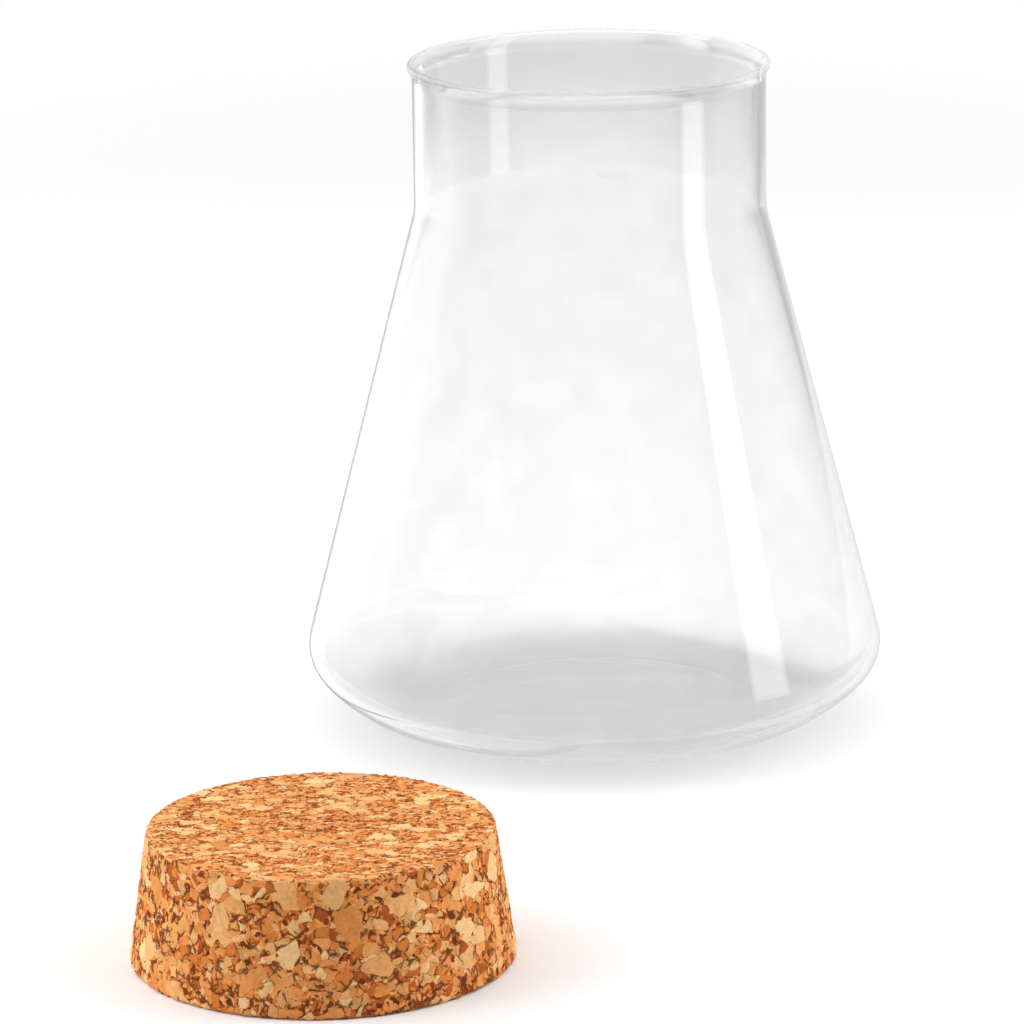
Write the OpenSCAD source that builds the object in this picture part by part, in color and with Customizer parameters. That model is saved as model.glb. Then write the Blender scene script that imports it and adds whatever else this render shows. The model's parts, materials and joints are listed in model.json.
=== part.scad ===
// Wide-mouth conical flask (Erlenmeyer form) of blown clear glass, with the
// agglomerated cork stopper that closes it. The stopper is off and stands on
// the bench beside the flask, wide end down.
//
// Millimetres, +Z up. The origin is the centre of the flask's foot, in the
// plane of the bench, and +Z runs up the flask's axis.

/* [Flask] */
// Height from the bench to the top of the lip
flask_h = 149; // [135:1:170]
// Outer diameter of the straight neck
neck_od = 77.8; // [70:0.2:78.6]
// Outer diameter over the flared lip
lip_od = 80; // [79.2:0.2:84]
// Thickness of the glass
wall_t = 1.8; // [1.2:0.1:2.6]
// Angle between the cone's side and the flask's axis, in degrees
cone_angle = 14.6; // [10:0.2:18]
// Height at which the lines of the neck and the cone would cross
shoulder_z = 116; // [105:1:122]
// Radius that blends the cone into the neck, on the outside
shoulder_r = 15; // [4:0.5:20]
// Radius that flares the top of the neck, on the outside
flare_r = 5; // [3:0.5:18]

/* [Foot] */
// Radius of the heel where it turns up into the cone
heel_side_r = 9.2; // [6:0.2:11]
// Radius of the heel where it turns under towards the foot
heel_under_r = 33.4; // [28:0.2:38]
// Angle that the heel's under radius turns through, in degrees
heel_turn = 47.5; // [40:0.5:55]
// Width of the flat ring that the flask stands on
foot_ring_w = 3.5; // [2:0.5:8]
// Height of the push-up in the middle of the flask's underside
punt_h = 1.4; // [0.6:0.1:2.4]

/* [Stopper] */
// Diameter of the stopper's wide end
cork_wide_d = 77; // [75:0.5:80]
// Diameter of the stopper's narrow end
cork_narrow_d = 69; // [64:0.5:73]
// Thickness of the stopper
cork_h = 27; // [20:0.5:34]
// Width of the worn chamfer along the stopper's two edges
cork_edge = 0.6; // [0.2:0.1:1.5]
// Distance from the flask's axis to the stopper's axis, to the left
cork_left = 56.7; // [50:0.1:70]
// Distance from the flask's axis to the stopper's axis, to the front
cork_front = 162.5; // [125:0.5:180]

/* [Hidden] */
$fn = 180;

neck_r = neck_od / 2;
lip_r = wall_t / 2;

// Direction square to the cone's side, outwards
cone_out = [cos(cone_angle), sin(cone_angle)];

// The heel is two arcs that meet smoothly. The under arc is centred straight
// above the foot's edge, and the side arc's centre lies on the under arc's last
// radius. The foot's radius makes the side arc touch the cone's line.
heel_step = (heel_under_r - heel_side_r) * [sin(heel_turn), -cos(heel_turn)];
side_from_foot = [0, heel_under_r] + heel_step;
foot_r = ([neck_r, shoulder_z] * cone_out - heel_side_r - side_from_foot * cone_out)
    / cone_out[0];
under_centre = [foot_r, heel_under_r];
side_centre = under_centre + heel_step;

// Push-up: a shallow sphere that starts at the inner edge of the foot ring
punt_edge_r = foot_r - foot_ring_w;
punt_r = (punt_edge_r * punt_edge_r + punt_h * punt_h) / (2 * punt_h);
punt_centre = [0, punt_h - punt_r];
punt_fn = 1440;

// Centre of the shoulder's blend, outside the glass
shoulder_centre = [
    neck_r + shoulder_r,
    shoulder_z + shoulder_r * tan(cone_angle / 2)
];

// The lip's centre line follows the flare up to the angle that gives lip_od
flare_mid_r = flare_r + lip_r;
flare_turn = acos((neck_r + flare_r + lip_r - lip_od / 2) / flare_mid_r);
lip_z = flask_h - lip_r;
flare_centre = [neck_r + flare_r, lip_z - flare_mid_r * sin(flare_turn)];

// Place on a circle about centre, at radius r, on its side towards the axis
// and turned up by angle a
function inward(centre, r, a) = centre + r * [-cos(a), sin(a)];

// Half section, filled from the axis out to the glass's outer face set in by d
module filled(d) {
    cone_end = side_centre + (heel_side_r - d) * cone_out;
    shoulder_end = inward(shoulder_centre, shoulder_r + d, -cone_angle);
    neck_start = inward(shoulder_centre, shoulder_r + d, 0);
    difference() {
        union() {
            polygon([
                [0, d], [foot_r, d], under_centre, side_centre, cone_end,
                shoulder_end, shoulder_centre, neck_start,
                [neck_r - d, flare_centre[1]], [0, flare_centre[1]]
            ]);
            under_arc(heel_under_r - d);
            translate(side_centre) circle(r = heel_side_r - d);
        }
        translate(shoulder_centre) circle(r = shoulder_r + d);
    }
}

// Slice of the heel's under radius, from straight down to where the side arc
// takes over
module under_arc(r) {
    reach = 2 * heel_under_r;
    translate(under_centre) intersection() {
        circle(r = r);
        polygon([[0, 0], [0, -reach], reach * [sin(heel_turn), -cos(heel_turn)]]);
    }
}

// Section of the flare above the straight neck, ending in the rounded lip
module flare_and_lip() {
    outer = 2 * flare_mid_r;
    translate(flare_centre) intersection() {
        difference() {
            circle(r = flare_r + wall_t);
            circle(r = flare_r);
        }
        polygon([[0, 0], [-outer, 0], outer * [-cos(flare_turn), sin(flare_turn)]]);
    }
    translate(inward(flare_centre, flare_mid_r, flare_turn)) circle(r = lip_r);
}

// The flask: one blown wall of even thickness, pushed up under the middle
module flask_body() {
    color([0.86, 0.9, 0.9, 0.45]) rotate_extrude() {
        difference() {
            filled(0);
            difference() {
                filled(wall_t);
                translate(punt_centre) circle(r = punt_r + wall_t, $fn = punt_fn);
            }
            translate(punt_centre) circle(r = punt_r, $fn = punt_fn);
        }
        flare_and_lip();
    }
}

// The stopper: a slightly tapered plug pressed from cork granules
module cork_stopper() {
    wide_r = cork_wide_d / 2;
    narrow_r = cork_narrow_d / 2;
    slope = (wide_r - narrow_r) / cork_h;
    color([0.72, 0.52, 0.33])
    translate([-cork_left, -cork_front, 0])
    rotate_extrude() polygon([
        [0, 0], [wide_r - cork_edge, 0],
        [wide_r - slope * cork_edge, cork_edge],
        [narrow_r + slope * cork_edge, cork_h - cork_edge],
        [narrow_r - cork_edge, cork_h], [0, cork_h]
    ]);
}

flask_body();
cork_stopper();
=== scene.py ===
import json
import math

import bmesh
import bpy
from mathutils import Matrix, Vector


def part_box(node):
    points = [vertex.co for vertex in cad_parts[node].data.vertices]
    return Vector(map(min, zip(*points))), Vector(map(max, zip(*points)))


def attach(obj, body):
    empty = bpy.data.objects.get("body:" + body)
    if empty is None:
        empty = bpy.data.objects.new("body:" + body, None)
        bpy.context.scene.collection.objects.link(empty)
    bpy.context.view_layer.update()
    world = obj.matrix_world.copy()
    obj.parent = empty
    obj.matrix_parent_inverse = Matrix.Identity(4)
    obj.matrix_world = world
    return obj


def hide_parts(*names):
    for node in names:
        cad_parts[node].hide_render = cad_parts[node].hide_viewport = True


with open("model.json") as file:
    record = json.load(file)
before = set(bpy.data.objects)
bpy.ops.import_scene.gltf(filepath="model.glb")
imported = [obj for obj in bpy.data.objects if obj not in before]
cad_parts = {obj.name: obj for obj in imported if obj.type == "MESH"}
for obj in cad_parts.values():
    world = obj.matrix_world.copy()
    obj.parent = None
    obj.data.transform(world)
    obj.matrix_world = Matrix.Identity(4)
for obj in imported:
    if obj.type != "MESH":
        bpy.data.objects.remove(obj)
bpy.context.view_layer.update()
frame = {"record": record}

scene = bpy.context.scene
MM = 0.001

# Camera: a long lens at standing height in front of the bench, looking down at
# the flask's middle, tilted a little as a hand-held one is.
camera_place = Vector((-18.2, -1192.1, 366.3)) * MM
camera_pitch = math.radians(90 - 15.02)
camera_tilt = math.radians(-0.8)

camera_data = bpy.data.cameras.new("camera")
camera_data.sensor_width = 36
camera_data.lens = 193.4
camera_data.clip_start = 0.05
camera_data.clip_end = 20
camera = bpy.data.objects.new("camera", camera_data)
scene.collection.objects.link(camera)
camera.matrix_world = (
    Matrix.Translation(camera_place)
    @ Matrix.Rotation(camera_pitch, 4, "X")
    @ Matrix.Rotation(camera_tilt, 4, "Z")
)
scene.camera = camera

# Flask: one piece of clear soda-lime glass, blown and drawn to a straight neck,
# a cone and a rounded heel, its lip flared and melted round, and its underside
# pushed up so that it stands on a ring. The wall is an even 1.8 mm.
wall = 1.8 * MM
lip_radius = wall / 2
bore = next(m for m in frame["record"]["mounts"] if m["name"] == "mouth")
neck_radius = bore["dims"]["r_mm"] * MM + wall
flask_low, flask_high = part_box("flask_body")
flask_height = flask_high.z
lip_outer = 40 * MM
flare_radius = 5 * MM
cone_angle = math.radians(14.6)
shoulder_height = 116 * MM
shoulder_radius = 15 * MM
heel_side_radius = 9.2 * MM
heel_under_radius = 33.4 * MM
heel_turn = math.radians(47.5)
foot_ring = 3.5 * MM
punt_height = 1.4 * MM
turns = 288
punt_steps = 10
foot_steps = 3
heel_under_steps = 60
heel_side_steps = 40
cone_steps = 12
shoulder_steps = 12
neck_steps = 4
flare_steps = 12
lip_steps = 16
weld_distance = 0.001 * MM
sliver_length = 0.0001 * MM


def point(x, z):
    return Vector((x, 0, z))


def toward(angle):
    """Unit direction in the flask's section, turned up from outwards."""
    return point(math.cos(angle), math.sin(angle))


heel_step = (heel_under_radius - heel_side_radius) * toward(heel_turn - math.pi / 2)
cone_square = toward(cone_angle)
cone_reach = point(neck_radius, shoulder_height).dot(cone_square) - heel_side_radius
foot_radius = (
    cone_reach - (point(0, heel_under_radius) + heel_step).dot(cone_square)
) / math.cos(cone_angle)
under_centre = point(foot_radius, heel_under_radius)
side_centre = under_centre + heel_step
shoulder_centre = point(
    neck_radius + shoulder_radius,
    shoulder_height + shoulder_radius * math.tan(cone_angle / 2),
)
flare_middle = flare_radius + lip_radius
flare_turn = math.acos((neck_radius + flare_middle - lip_outer) / flare_middle)
lip_height = flask_height - lip_radius
flare_centre = point(
    neck_radius + flare_radius, lip_height - flare_middle * math.sin(flare_turn)
)
punt_edge = foot_radius - foot_ring
punt_radius = (punt_edge**2 + punt_height**2) / (2 * punt_height)
punt_turn = math.asin(punt_edge / punt_radius)
punt_centre = point(0, punt_height - punt_radius)


def draw_line(section, end, target, steps=1):
    """Carries the section's last vertex along a straight line."""
    start = end.co.copy()
    for step in range(steps):
        end = bmesh.ops.extrude_vert_indiv(section, verts=[end])["verts"][0]
        end.co = start.lerp(target, (step + 1) / steps)
    return end


def draw_arc(section, end, centre, turn, steps):
    """Carries the section's last vertex round a centre; up from outwards is positive."""
    swept = bmesh.ops.spin(
        section, geom=[end], cent=centre, axis=(0, -1, 0), angle=turn, steps=steps
    )
    return next(v for v in swept["geom_last"] if isinstance(v, bmesh.types.BMVert))


glass = bmesh.new()
end = glass.verts.new(point(0, punt_height))
end = draw_arc(glass, end, punt_centre, -punt_turn, punt_steps)
end = draw_line(glass, end, point(foot_radius, 0), foot_steps)
end = draw_arc(glass, end, under_centre, heel_turn, heel_under_steps)
side_turn = math.pi / 2 - heel_turn + cone_angle
end = draw_arc(glass, end, side_centre, side_turn, heel_side_steps)
shoulder_foot = shoulder_centre - shoulder_radius * cone_square
end = draw_line(glass, end, shoulder_foot, cone_steps)
end = draw_arc(glass, end, shoulder_centre, -cone_angle, shoulder_steps)
end = draw_line(glass, end, point(neck_radius, flare_centre.z), neck_steps)
end = draw_arc(glass, end, flare_centre, -flare_turn, flare_steps)
lip_centre = flare_centre + flare_middle * toward(math.pi - flare_turn)
end = draw_arc(glass, end, lip_centre, math.pi, lip_steps)
end = draw_arc(glass, end, flare_centre, flare_turn, flare_steps)
end = draw_line(glass, end, point(neck_radius - wall, shoulder_centre.z), neck_steps)
end = draw_arc(glass, end, shoulder_centre, cone_angle, shoulder_steps)
cone_foot = side_centre + (heel_side_radius - wall) * cone_square
end = draw_line(glass, end, cone_foot, cone_steps)
end = draw_arc(glass, end, side_centre, -side_turn, heel_side_steps)
end = draw_arc(glass, end, under_centre, -heel_turn, heel_under_steps)
inner_floor = punt_centre + (punt_radius + wall) * toward(math.pi / 2 - punt_turn)
end = draw_line(glass, end, inner_floor, foot_steps)
end = draw_arc(glass, end, punt_centre, punt_turn, punt_steps)

bmesh.ops.spin(
    glass,
    geom=glass.verts[:] + glass.edges[:],
    cent=(0, 0, 0),
    axis=(0, 0, 1),
    angle=math.tau,
    steps=turns,
    use_merge=True,
)
bmesh.ops.remove_doubles(glass, verts=glass.verts, dist=weld_distance)
bmesh.ops.dissolve_degenerate(glass, edges=glass.edges, dist=sliver_length)
bmesh.ops.recalc_face_normals(glass, faces=glass.faces)


def finish_piece(name, built, material, body, node):
    """Makes the mesh a smooth object that stands for a CAD node and rides on its body."""
    mesh = bpy.data.meshes.new(name)
    built.to_mesh(mesh)
    built.free()
    mesh.shade_smooth()
    mesh.materials.append(material)
    piece = bpy.data.objects.new(name, mesh)
    scene.collection.objects.link(piece)
    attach(piece, body)
    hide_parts(node)
    return piece


def new_material(name):
    """A material with its node tree, its Principled shader and its coordinates."""
    material = bpy.data.materials.new(name)
    material.use_nodes = True
    tree = material.node_tree
    shader = tree.nodes["Principled BSDF"]
    place = tree.nodes.new("ShaderNodeTexCoord")
    return material, tree, shader, place.outputs["Object"]


def add_node(tree, kind, links, **settings):
    """Adds a node, sets its options and inputs, and links sockets to its inputs."""
    node = tree.nodes.new(kind)
    for name, value in settings.items():
        setattr(node, name, value)
    for name, source in links.items():
        if isinstance(source, bpy.types.NodeSocket):
            tree.links.new(source, node.inputs[name])
        else:
            node.inputs[name].default_value = source
    return node


def blend_numbers(tree, operation, first, second):
    """One sum of two numbers or sockets."""
    return add_node(tree, "ShaderNodeMath", {0: first, 1: second}, operation=operation).outputs[0]


clear_glass, tree, shader, place = new_material("clear_glass")
shader.inputs["Roughness"].default_value = 0
shader.inputs["IOR"].default_value = 1.5
shader.inputs["Transmission Weight"].default_value = 1
# Faint clouds in the clearness of the glass, and faint waves left by blowing
clouds = add_node(tree, "ShaderNodeTexNoise", {"Vector": place, "Scale": 110, "Detail": 3})
clearness = add_node(
    tree, "ShaderNodeMapRange",
    {"Value": clouds.outputs["Fac"], "From Min": 0.3, "From Max": 0.7,
     "To Min": 0.928, "To Max": 0.962},
)
waves = add_node(tree, "ShaderNodeTexNoise", {"Vector": place, "Scale": 30, "Detail": 0})
bump = add_node(
    tree, "ShaderNodeBump",
    {"Height": waves.outputs["Fac"], "Strength": 0.004, "Distance": 2 * MM},
)
tree.links.new(clearness.outputs["Result"], shader.inputs["Base Color"])
tree.links.new(bump.outputs["Normal"], shader.inputs["Normal"])
# The melted lip is bright and hides less than the wall would
height = add_node(tree, "ShaderNodeSeparateXYZ", {"Vector": place}).outputs["Z"]
melted_from = flask_height - 3.4 * MM
melted_to = flask_height - 2.0 * MM
melted = add_node(
    tree, "ShaderNodeMapRange",
    {"Value": height, "From Min": melted_from, "From Max": melted_to, "To Max": 0.5},
)
open_lip = add_node(tree, "ShaderNodeBsdfTransparent", {})
wall_and_lip = add_node(
    tree, "ShaderNodeMixShader",
    {0: melted.outputs["Result"], 1: shader.outputs["BSDF"], 2: open_lip.outputs["BSDF"]},
)
# Light that falls through the glass onto the bench goes straight on, a little dimmed,
# and so does light that has wandered inside the wall for long
most_turns_inside = 8
path = tree.nodes.new("ShaderNodeLightPath")
falling = blend_numbers(
    tree, "MAXIMUM", path.outputs["Is Shadow Ray"], path.outputs["Is Diffuse Ray"]
)
wandered = blend_numbers(tree, "GREATER_THAN", path.outputs["Ray Depth"], most_turns_inside)
dimmed = add_node(tree, "ShaderNodeBsdfTransparent", {"Color": (0.87, 0.87, 0.87, 1)})
passed_on = add_node(
    tree, "ShaderNodeMixShader",
    {
        0: blend_numbers(tree, "MAXIMUM", falling, wandered),
        1: wall_and_lip.outputs["Shader"],
        2: dimmed.outputs["BSDF"],
    },
)
tree.links.new(passed_on.outputs["Shader"], tree.nodes["Material Output"].inputs["Surface"])

finish_piece("blown_flask", glass, clear_glass, "flask", "flask_body")

# Stopper: a tapered plug, moulded from cork granules and a binder under
# pressure, then turned and sanded to size so that the granules show cut open.
# Small crumbs have dropped out between the granules and left dark pits.
cork_low, cork_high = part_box("cork_stopper")
cork_axis = (cork_low + cork_high) / 2
cork_wide = (cork_high.x - cork_low.x) / 2
cork_narrow = 34.5 * MM
cork_height = cork_high.z
cork_edge = 0.6 * MM
cork_slope = (cork_wide - cork_narrow) / cork_height
cork_turns = 540
cork_end_steps = 10
cork_edge_steps = 2
cork_side_steps = 64
cork_top_steps = 68
# Granules of three sizes, in mm, and how deep the crumbs' pits and the granules lie
flake_size = 4.4
grain_size = 2.1
crumb_size = 0.85
pit_depth = 0.2 * MM
granule_depth = 0.1 * MM
# The narrow face is cut along the pressing, so its granules look finer and longer
narrow_face_from = cork_height - 0.45 * MM
finer_along = 0.35
finer_across = 1.1


def cork_point(radius, height):
    return Vector((cork_axis.x + radius, cork_axis.y, height))


cork = bmesh.new()
end = cork.verts.new(cork_point(0, 0))
end = draw_line(cork, end, cork_point(cork_wide - cork_edge, 0), cork_end_steps)
lower_edge = cork_point(cork_wide - cork_slope * cork_edge, cork_edge)
end = draw_line(cork, end, lower_edge, cork_edge_steps)
upper_edge = cork_point(cork_narrow + cork_slope * cork_edge, cork_height - cork_edge)
end = draw_line(cork, end, upper_edge, cork_side_steps)
narrow_rim = cork_point(cork_narrow - cork_edge, cork_height)
end = draw_line(cork, end, narrow_rim, cork_edge_steps)
end = draw_line(cork, end, cork_point(0, cork_height), cork_top_steps)
bmesh.ops.spin(
    cork,
    geom=cork.verts[:] + cork.edges[:],
    cent=cork_point(0, 0),
    axis=(0, 0, 1),
    angle=math.tau,
    steps=cork_turns,
    use_merge=True,
)
bmesh.ops.remove_doubles(cork, verts=cork.verts, dist=weld_distance)
bmesh.ops.recalc_face_normals(cork, faces=cork.faces)


def draw_granules(tree, place, size):
    """One size of granule, in mm: a random vector for each, and the distance to its edge."""
    cells = add_node(tree, "ShaderNodeTexVoronoi", {"Vector": place, "Scale": 1 / size})
    edges = add_node(
        tree, "ShaderNodeTexVoronoi", {"Vector": place, "Scale": 1 / size},
        feature="DISTANCE_TO_EDGE",
    )
    chance = add_node(tree, "ShaderNodeSeparateXYZ", {0: cells.outputs["Color"]})
    return chance.outputs, blend_numbers(tree, "MULTIPLY", edges.outputs["Distance"], size)


def cork_pattern(tree, place):
    """The granules and the pits between them, the same for the relief and the colours."""
    height = add_node(tree, "ShaderNodeSeparateXYZ", {0: place}).outputs["Z"]
    on_top = blend_numbers(tree, "GREATER_THAN", height, narrow_face_from)
    along = blend_numbers(tree, "ADD", blend_numbers(tree, "MULTIPLY", on_top, finer_along), 1)
    across = blend_numbers(tree, "ADD", blend_numbers(tree, "MULTIPLY", on_top, finer_across), 1)
    fineness = add_node(tree, "ShaderNodeCombineXYZ", {0: along, 1: across, 2: 1}).outputs[0]
    per_millimetre = add_node(
        tree, "ShaderNodeVectorMath", {0: place, "Scale": 1 / MM}, operation="SCALE"
    ).outputs[0]
    scaled = add_node(
        tree, "ShaderNodeVectorMath", {0: per_millimetre, 1: fineness}, operation="MULTIPLY"
    ).outputs[0]
    for scale, reach in ((0.35, 2.2), (1.6, 0.5)):
        crooked = add_node(
            tree, "ShaderNodeTexNoise", {"Vector": scaled, "Scale": scale, "Detail": 1.0}
        )
        centred = add_node(
            tree, "ShaderNodeVectorMath",
            {0: crooked.outputs["Color"], 1: (0.5, 0.5, 0.5)}, operation="SUBTRACT",
        )
        shifted = add_node(
            tree, "ShaderNodeVectorMath",
            {0: centred.outputs[0], "Scale": reach}, operation="SCALE",
        )
        scaled = add_node(
            tree, "ShaderNodeVectorMath", {0: scaled, 1: shifted.outputs[0]}, operation="ADD"
        ).outputs[0]
    flake, flake_edge = draw_granules(tree, scaled, flake_size)
    grain, grain_edge = draw_granules(tree, scaled, grain_size)
    crumb, _ = draw_granules(tree, scaled, crumb_size)
    is_flake = blend_numbers(
        tree, "MULTIPLY",
        blend_numbers(tree, "GREATER_THAN", flake[0], 0.74),
        blend_numbers(tree, "GREATER_THAN", flake_edge, 0.1),
    )
    is_grain = blend_numbers(
        tree, "MULTIPLY",
        blend_numbers(tree, "GREATER_THAN", grain[0], 0.36),
        blend_numbers(tree, "GREATER_THAN", grain_edge, 0.06),
    )
    patches = add_node(
        tree, "ShaderNodeTexNoise", {"Vector": scaled, "Scale": 0.45, "Detail": 2.0}
    ).outputs[0]
    reach = add_node(
        tree, "ShaderNodeMapRange",
        {"Value": patches, "From Min": 0.5, "From Max": 0.66, "To Min": 0.0, "To Max": 0.55},
    ).outputs[0]
    loose = blend_numbers(
        tree, "MINIMUM",
        blend_numbers(tree, "ADD", grain_edge, blend_numbers(tree, "MULTIPLY", is_flake, 9)),
        blend_numbers(tree, "ADD", flake_edge, 0.05),
    )
    pit = add_node(
        tree, "ShaderNodeMapRange",
        {"Value": loose, "From Min": 0.0, "From Max": reach, "To Min": 1.0, "To Max": 0.0},
        interpolation_type="SMOOTHSTEP",
    ).outputs[0]
    missing = blend_numbers(
        tree, "MULTIPLY",
        blend_numbers(tree, "LESS_THAN", crumb[0], 0.2),
        blend_numbers(tree, "SUBTRACT", 1, blend_numbers(tree, "MAXIMUM", is_flake, is_grain)),
    )
    pit = blend_numbers(tree, "MAXIMUM", pit, missing)
    return {
        "place": scaled, "flake": flake, "grain": grain, "crumb": crumb,
        "is_flake": is_flake, "is_grain": is_grain, "pit": pit,
    }


relief = bpy.data.node_groups.new("cork_relief", "GeometryNodeTree")
relief.interface.new_socket("Geometry", in_out="INPUT", socket_type="NodeSocketGeometry")
relief.interface.new_socket("Geometry", in_out="OUTPUT", socket_type="NodeSocketGeometry")
incoming = relief.nodes.new("NodeGroupInput")
outgoing = relief.nodes.new("NodeGroupOutput")
vertex_place = relief.nodes.new("GeometryNodeInputPosition").outputs[0]
vertex_normal = relief.nodes.new("GeometryNodeInputNormal").outputs[0]
pattern = cork_pattern(relief, vertex_place)
sunk = blend_numbers(relief, "MULTIPLY", pattern["pit"], -pit_depth)
uneven = blend_numbers(relief, "MULTIPLY", pattern["grain"][2], -granule_depth)
depth = blend_numbers(relief, "ADD", sunk, uneven)
offset = add_node(
    relief, "ShaderNodeVectorMath", {0: vertex_normal, "Scale": depth}, operation="SCALE"
)
moved = add_node(
    relief, "GeometryNodeSetPosition",
    {"Geometry": incoming.outputs[0], "Offset": offset.outputs[0]},
)
relief.links.new(moved.outputs[0], outgoing.inputs[0])

pressed_cork, tree, shader, place = new_material("pressed_cork")
shader.inputs["Roughness"].default_value = 0.85
shader.inputs["Specular IOR Level"].default_value = 0.25
pattern = cork_pattern(tree, place)


def shade_granules(chance, stops):
    """Gives each granule its own colour out of a row of colours, dark to light."""
    ramp = tree.nodes.new("ShaderNodeValToRGB")
    row = ramp.color_ramp.elements
    row[0].position = stops[0][0]
    row[0].color = (*stops[0][1], 1)
    row[1].position = stops[-1][0]
    row[1].color = (*stops[-1][1], 1)
    for position, colour in stops[1:-1]:
        row.new(position).color = (*colour, 1)
    tree.links.new(chance, ramp.inputs["Fac"])
    return ramp.outputs["Color"]


def mix_colours(amount, first, second, blend="MIX"):
    """One colour or socket laid over another."""
    return add_node(
        tree, "ShaderNodeMix", {0: amount, 6: first, 7: second},
        data_type="RGBA", blend_type=blend,
    ).outputs[2]


flake_colour = shade_granules(pattern["flake"][1], (
    (0.0, (0.72, 0.26, 0.06)), (0.2, (0.86, 0.39, 0.12)), (0.4, (0.90, 0.48, 0.19)),
    (0.55, (0.70, 0.38, 0.13)), (0.7, (0.92, 0.52, 0.22)), (1.0, (0.95, 0.62, 0.29)),
))
grain_colour = shade_granules(pattern["grain"][1], (
    (0.0, (0.40, 0.08, 0.015)), (0.12, (0.68, 0.19, 0.035)), (0.3, (0.84, 0.30, 0.07)),
    (0.5, (0.88, 0.37, 0.11)), (0.65, (0.74, 0.36, 0.12)), (0.8, (0.92, 0.47, 0.18)),
    (1.0, (0.95, 0.58, 0.26)),
))
crumb_colour = shade_granules(pattern["crumb"][1], (
    (0.0, (0.24, 0.04, 0.008)), (0.25, (0.60, 0.14, 0.02)), (0.6, (0.84, 0.28, 0.06)),
    (1.0, (0.92, 0.43, 0.14)),
))
mottle = add_node(
    tree, "ShaderNodeTexNoise", {"Vector": pattern["place"], "Scale": 1.4, "Detail": 3.0}
).outputs[0]
mottle_level = add_node(
    tree, "ShaderNodeMapRange",
    {"Value": mottle, "From Min": 0.3, "From Max": 0.7, "To Min": 0.82, "To Max": 1.06},
).outputs[0]
pit_colour = (0.12, 0.028, 0.006, 1)
pit_share = blend_numbers(tree, "MULTIPLY", pattern["pit"], 0.93)
colour = mix_colours(pattern["is_grain"], crumb_colour, grain_colour)
colour = mix_colours(pattern["is_flake"], colour, flake_colour)
colour = mix_colours(1.0, colour, mottle_level, "MULTIPLY")
colour = mix_colours(pit_share, colour, pit_colour)
tree.links.new(colour, shader.inputs["Base Color"])
height = blend_numbers(
    tree, "SUBTRACT", blend_numbers(tree, "MULTIPLY", mottle, 0.5), pattern["pit"]
)
bump = add_node(
    tree, "ShaderNodeBump", {"Height": height, "Strength": 0.6, "Distance": 0.25 * MM}
)
tree.links.new(bump.outputs["Normal"], shader.inputs["Normal"])

stopper = finish_piece(
    "granular_stopper", cork, pressed_cork, "stopper", "cork_stopper"
)
stopper.visible_glossy = False
carving = stopper.modifiers.new("carving", "NODES")
carving.node_group = relief
seen_mesh = stopper.evaluated_get(bpy.context.evaluated_depsgraph_get())
stopper.data = bpy.data.meshes.new_from_object(seen_mesh)
stopper.modifiers.clear()

# Bench: a round sheet of matt white paper under both pieces. It fades out into the
# white surroundings, and lies a hair below the foot ring so that they never meet.
bench_radius = 1.2
bench_gap = 0.02 * MM
fade_start = 0.6
fade_end = 0.85
bench_narrowing = 1.9

sheet = bmesh.new()
bmesh.ops.create_circle(sheet, cap_ends=True, segments=64, radius=bench_radius)
floor_mesh = bpy.data.meshes.new("bench")
sheet.to_mesh(floor_mesh)
sheet.free()
floor = bpy.data.objects.new("bench", floor_mesh)
scene.collection.objects.link(floor)
floor.location.z = -bench_gap
white_sheet, tree, shader, place = new_material("white_sheet")
shader.inputs["Base Color"].default_value = (0.9, 0.9, 0.9, 1)
shader.inputs["Roughness"].default_value = 1
shader.inputs["Specular IOR Level"].default_value = 0
spread = add_node(
    tree, "ShaderNodeVectorMath", {0: place, 1: (bench_narrowing, 1, 1)}, operation="MULTIPLY"
)
length = add_node(tree, "ShaderNodeVectorMath", {0: spread.outputs["Vector"]}, operation="LENGTH")
fade = add_node(
    tree, "ShaderNodeMapRange",
    {"Value": length.outputs["Value"], "From Min": fade_start, "From Max": fade_end,
     "To Min": 1, "To Max": 0},
    interpolation_type="SMOOTHSTEP",
)
tree.links.new(fade.outputs["Result"], shader.inputs["Alpha"])
floor_mesh.materials.append(white_sheet)
# The surroundings, not the bench, draw the grey outline of the lower glass
floor.visible_glossy = False

# Lamps: a tall soft strip at the right that shows as a white stripe down the glass,
# dimmer at its foot, a strip above the front, and three wide fills that the glass
# doesn't show. Angles are in degrees, sizes in metres.
strip_azimuth = 68
strip_distance = 0.42
strip_width = 0.115
fill_elevation = 22
fill_distance = 0.9


def softbox(name, azimuth, elevation, distance, width, height, radiance, target=(0, 0, 0.08)):
    """A rectangular lamp aimed at the flask. Azimuth runs from the front to the right."""
    lamp = bpy.data.lights.new(name, "AREA")
    lamp.shape = "RECTANGLE"
    lamp.size = width
    lamp.size_y = height
    lamp.energy = radiance * math.pi * width * height
    side = math.radians(azimuth)
    rise = math.radians(elevation)
    away = Vector((
        math.sin(side) * math.cos(rise),
        -math.cos(side) * math.cos(rise),
        math.sin(rise),
    ))
    holder = bpy.data.objects.new(name, lamp)
    scene.collection.objects.link(holder)
    holder.location = Vector(target) + away * distance
    holder.rotation_euler = away.to_track_quat("Z", "Y").to_euler()
    return holder


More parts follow.
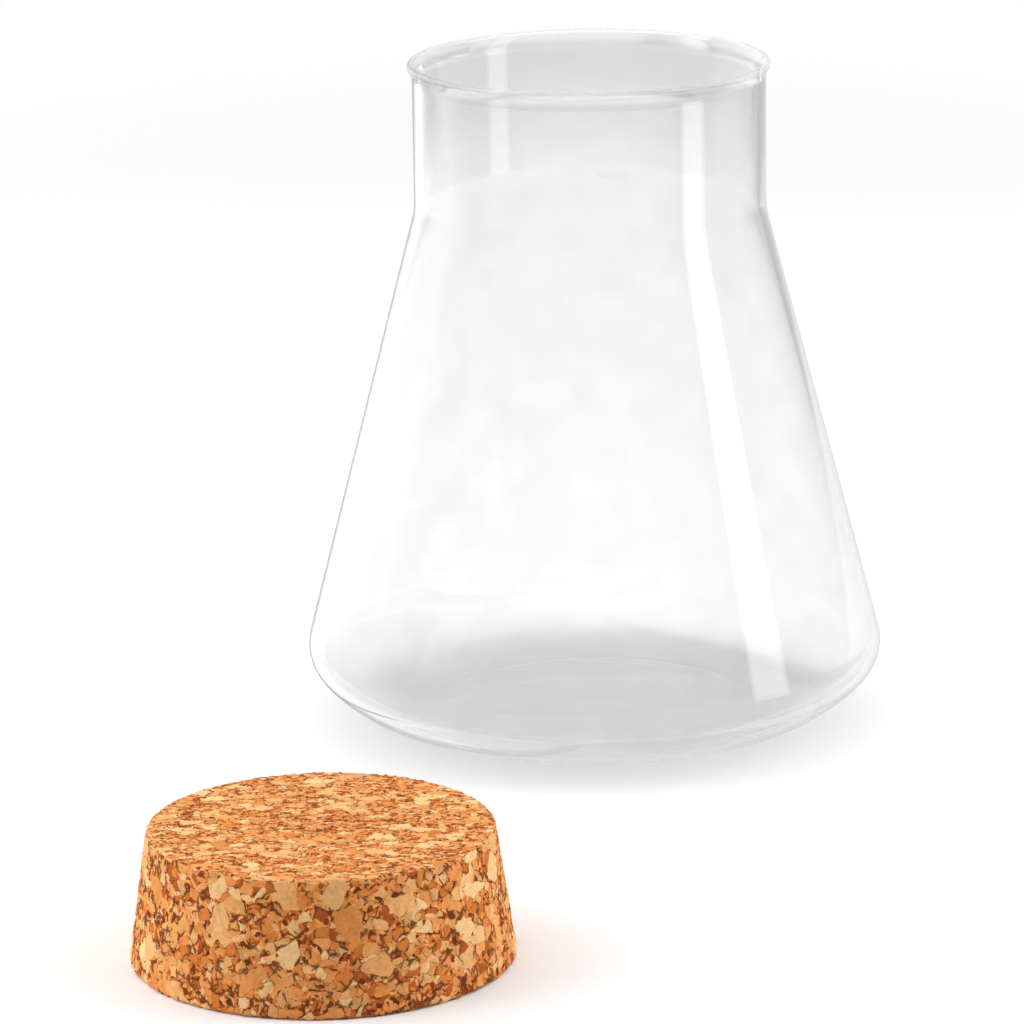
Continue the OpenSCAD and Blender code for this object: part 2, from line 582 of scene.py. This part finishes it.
for name, low, high, radiance in (
    ("strip_right_foot", -0.04, 0.085, 2.0),
    ("strip_right", 0.085, 0.645, 3.0),
):
    softbox(
        name, strip_azimuth, 0, strip_distance, strip_width, high - low, radiance,
        target=(0, 0, (low + high) / 2),
    )
front_strip = softbox("front_strip", 8, 68, 1.4, 1.1, 0.2, 3)
front_strip.visible_diffuse = False
fills = (
    softbox("overhead", 0, 89, 1.6, 3.2, 3.2, 0.85),
    softbox("left_fill", -85, fill_elevation, fill_distance, 0.9, 0.8, 2.4),
    softbox("right_fill", 85, fill_elevation, fill_distance, 0.9, 0.8, 1.5),
)
for fill in fills:
    fill.visible_glossy = False
    fill.visible_transmission = False

# Surroundings: even white as seen directly. The glass sees a bright wall at the
# rear left and a dim one at the right; the cork gets little light from the front.
world = bpy.data.worlds.new("surroundings")
scene.world = world
world.use_nodes = True
tree = world.node_tree
sight = tree.nodes.new("ShaderNodeTexCoord")
parts = add_node(tree, "ShaderNodeSeparateXYZ", {0: sight.outputs["Generated"]})
ahead = blend_numbers(tree, "MULTIPLY", parts.outputs["Y"], -1)
bearing = blend_numbers(tree, "ARCTAN2", parts.outputs["X"], ahead)
turn = add_node(
    tree, "ShaderNodeMapRange",
    {"Value": bearing, "From Min": -math.pi, "From Max": math.pi},
)


def round_the_room(levels):
    """A grey level that changes with the direction, in degrees from the front to the right."""
    ramp = add_node(tree, "ShaderNodeValToRGB", {"Fac": turn.outputs["Result"]})
    ramp.color_ramp.interpolation = "EASE"
    row = ramp.color_ramp.elements
    for index, (degrees, level) in enumerate(levels):
        position = (degrees + 180) / 360
        if index == 0:
            stop = row[0]
        elif index == len(levels) - 1:
            stop = row[-1]
        else:
            stop = row.new(position)
        stop.color = (level, level, level, 1)
    return ramp.outputs["Color"]


for_glass = round_the_room((
    (-180, 0.75), (-174, 0.75), (-171, 0.4), (-166, 0.5), (-160, 1.2), (-105, 1.15),
    (-96, 0.7), (-84, 0.55), (-62, 0.65), (-38, 0.8), (0, 0.85), (30, 0.8),
    (52, 0.6), (60, 0.35), (85, 0.45), (110, 0.65), (140, 0.55), (165, 0.6), (174, 0.75),
    (180, 0.75),
))
for_cork = round_the_room((
    (-180, 0.6), (-165, 0.8), (-100, 0.8), (-70, 0.6), (-45, 0.1), (45, 0.1),
    (80, 0.5), (110, 0.4), (180, 0.6),
))
path = tree.nodes.new("ShaderNodeLightPath")
by_glass = blend_numbers(
    tree, "MAXIMUM", path.outputs["Is Glossy Ray"], path.outputs["Is Transmission Ray"]
)
level = mix_colours(by_glass, for_cork, for_glass)
level = mix_colours(path.outputs["Is Camera Ray"], level, (1, 1, 1, 1))
tree.links.new(level, tree.nodes["Background"].inputs["Color"])

light_bounces = 96
scene.cycles.max_bounces = light_bounces
scene.cycles.transmission_bounces = light_bounces
scene.cycles.glossy_bounces = light_bounces
scene.view_settings.view_transform = "Standard"
